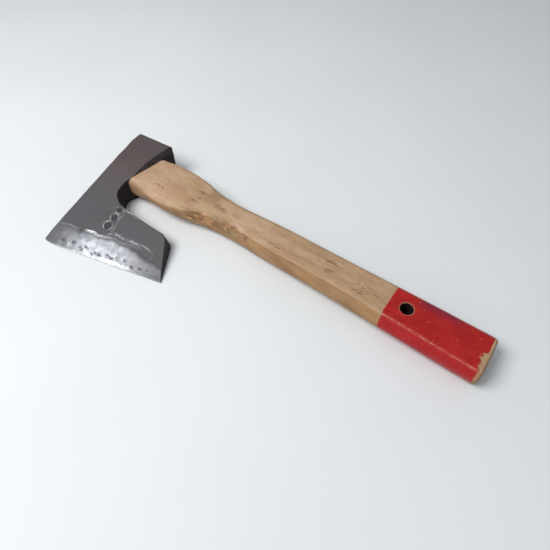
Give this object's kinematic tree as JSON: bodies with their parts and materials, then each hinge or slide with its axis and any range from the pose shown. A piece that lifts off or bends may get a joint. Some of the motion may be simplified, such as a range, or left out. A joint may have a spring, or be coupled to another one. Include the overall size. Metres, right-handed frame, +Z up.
{
  "type": "bearded roofing hatchet",
  "caption": "Roofing hatchet with a bearded, straight-topped forged head, flat cheek, plain flat poll, and a pale wooden haft dipped in red paint with a hanging hole.",
  "frame": {"origin": "bottom centre of the object's box, with the hatchet lying on its flat cheek", "axes": "+X along the haft from the head to the butt, +Y towards the poll and away from the cutting edge, +Z up, square to the flat cheek"},
  "size_m": [0.3826, 0.1404, 0.0339],
  "materials": {
    "forged_steel": "dark forge scale worn smooth, satin, browner near the eye",
    "bit_steel": "ground and worn bright, with fine scratches, nicks and small dark pits",
    "wedge_steel": "dull hammered steel",
    "pale_wood": "worn bare ash-like wood with fine long grain, small pits and dents",
    "wedge_wood": "darkened end grain",
    "red_paint": "glossy brushed enamel, rubbed pale along the edges and chipped at the butt"
  },
  "bodies": {
    "root": {"axe_head": "forged_steel", "steel_bit": "bit_steel", "haft": "pale_wood", "wooden_wedge": "wedge_wood", "steel_wedge_front": "wedge_steel", "steel_wedge_rear": "wedge_steel", "red_paint_coat": "red_paint"}
  },
  "joints": []
}
